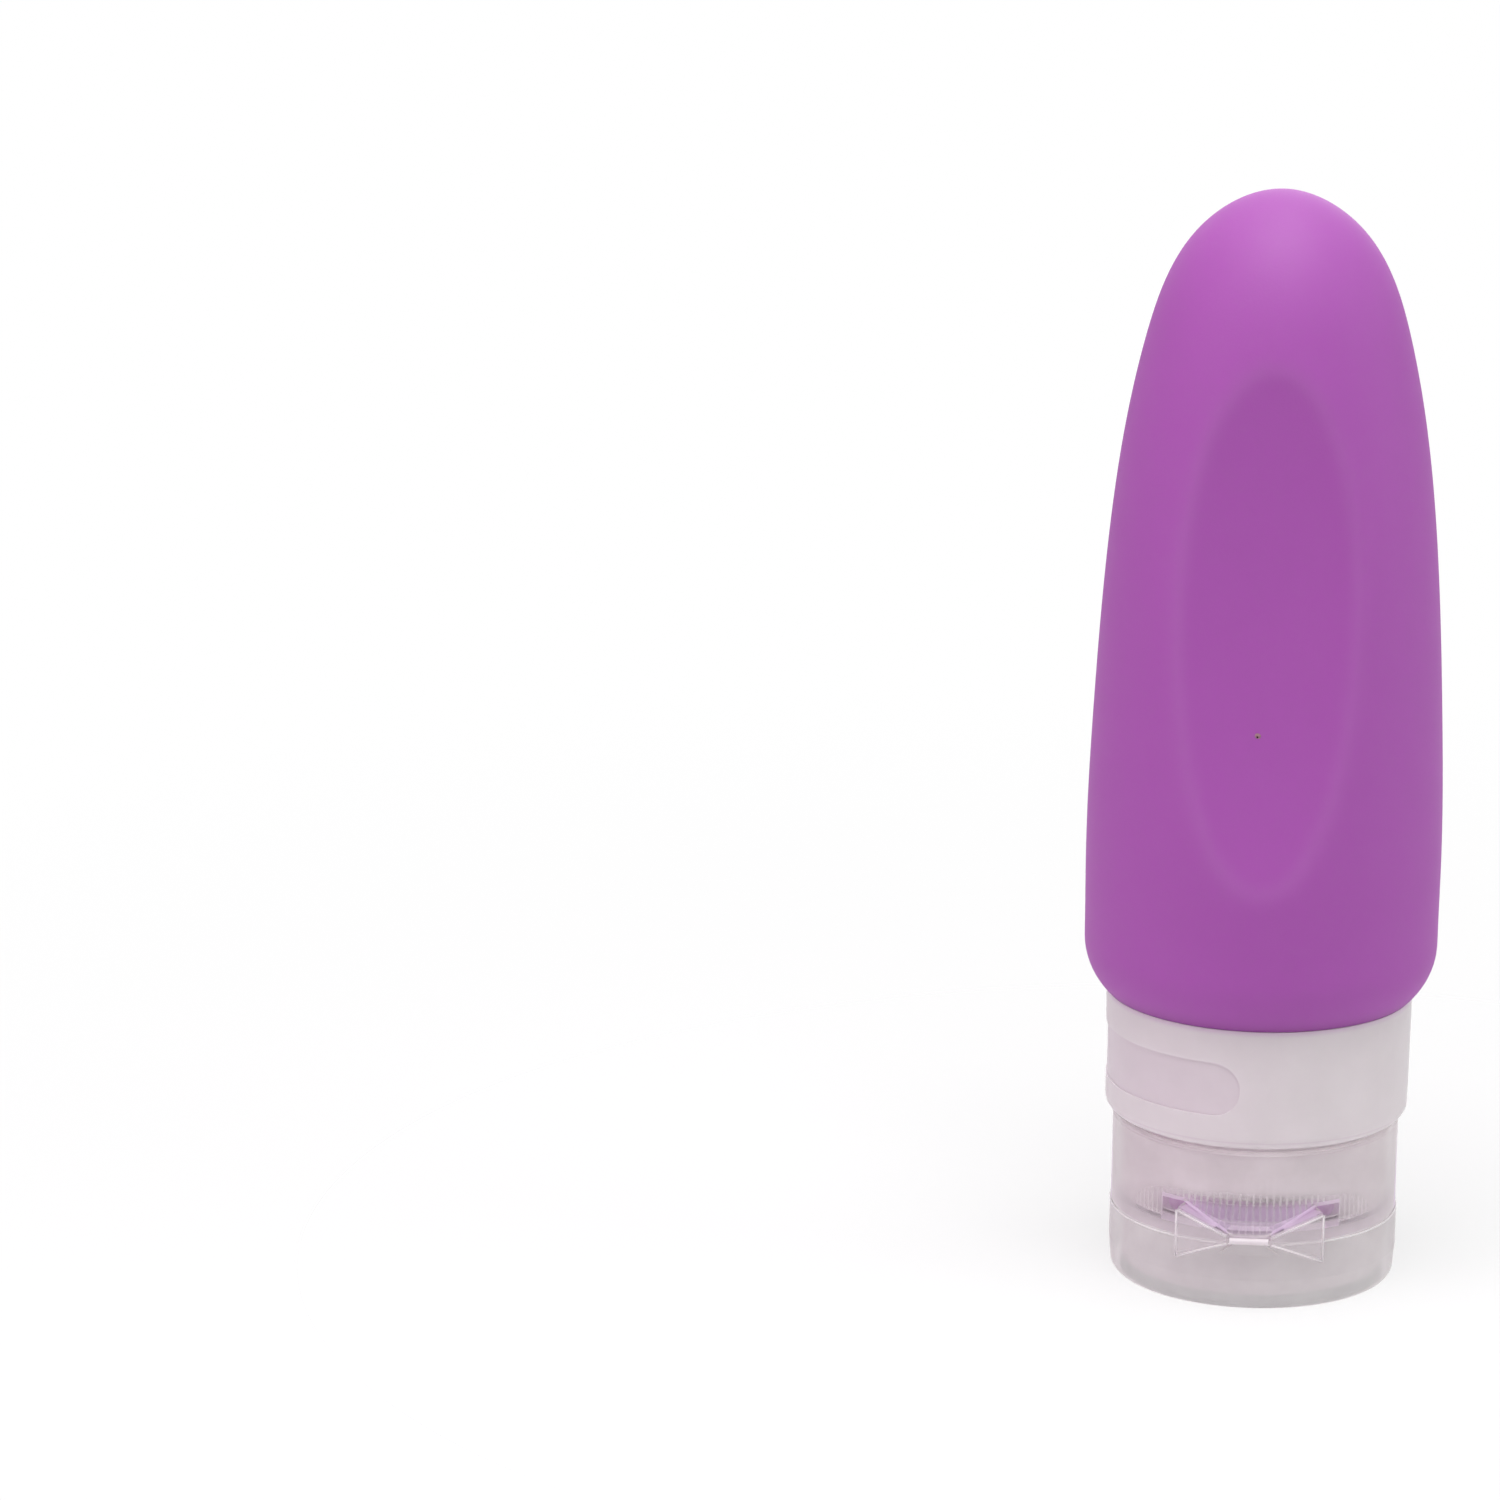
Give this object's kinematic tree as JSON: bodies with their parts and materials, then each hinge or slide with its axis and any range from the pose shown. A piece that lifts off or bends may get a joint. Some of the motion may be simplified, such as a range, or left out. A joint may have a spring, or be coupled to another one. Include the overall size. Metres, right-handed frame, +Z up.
{
  "type": "travel squeeze bottle",
  "caption": "Soft silicone squeeze bottle with grip dishes, a turning window collar and a screw cap with a butterfly-hinged flip lid that it stands on.",
  "frame": {"origin": "centre of the lid's flat face, on which the bottle stands upside down", "axes": "+Z up along the bottle's axis from the cap to the round end, -Y towards the lid's hinge, +X to the right as seen from the hinge"},
  "size_m": [0.0449, 0.0448, 0.1405],
  "materials": {
    "silicone_purple": "matte",
    "collar_plastic": "satin",
    "cap_plastic": "satin",
    "neck_plastic": "satin",
    "label_blank": "matte",
    "valve_silicone": "matte"
  },
  "bodies": {
    "bottle": {"squeeze_body": "silicone_purple", "neck_sleeve": "neck_plastic", "label_ring": "label_blank"},
    "collar": {"window_collar": "collar_plastic"},
    "valve": {"no_drip_valve": "valve_silicone", "valve_ring": "neck_plastic"},
    "cap": {"cap_base": "cap_plastic", "hinge_strap": "cap_plastic"},
    "lid": {"flip_lid": "cap_plastic"},
    "wing_left": {"hinge_wing_left": "cap_plastic"},
    "wing_right": {"hinge_wing_right": "cap_plastic"}
  },
  "joints": [
    {"name": "collar_turn", "type": "hinge", "parent": "bottle", "child": "collar", "pos_m": [0, 0, 0.0367], "axis": [0, 0, 1], "continuous": true},
    {"name": "cap_lift", "type": "slide", "parent": "bottle", "child": "valve", "axis": [0, 0, -1], "range_m": [0, 0.00481]},
    {"name": "cap_turn", "type": "hinge", "parent": "valve", "child": "cap", "pos_m": [0, 0, 0.0148], "axis": [0, 0, -1], "range_deg": [0, 540]},
    {"name": "lid_hinge", "type": "hinge", "parent": "cap", "child": "lid", "pos_m": [0, -0.01915, 0.00955], "axis": [-1, 0, 0], "range_deg": [0, 160]},
    {"name": "wing_left_fold", "type": "hinge", "parent": "cap", "child": "wing_left", "pos_m": [-0.0028, -0.01878, 0.01], "axis": [-0.8877, 0.2947, 0.3537], "range_deg": [0, 80]},
    {"name": "wing_right_fold", "type": "hinge", "parent": "cap", "child": "wing_right", "pos_m": [0.0028, -0.01878, 0.01], "axis": [-0.8877, -0.2947, -0.3537], "range_deg": [0, 80]}
  ],
  "couplings": [
    {"joint": "cap_lift", "follows": "cap_turn", "m_per_rad": 0.0005093},
    {"joint": "wing_left_fold", "follows": "lid_hinge", "ratio": 0.5},
    {"joint": "wing_right_fold", "follows": "lid_hinge", "ratio": 0.5}
  ]
}
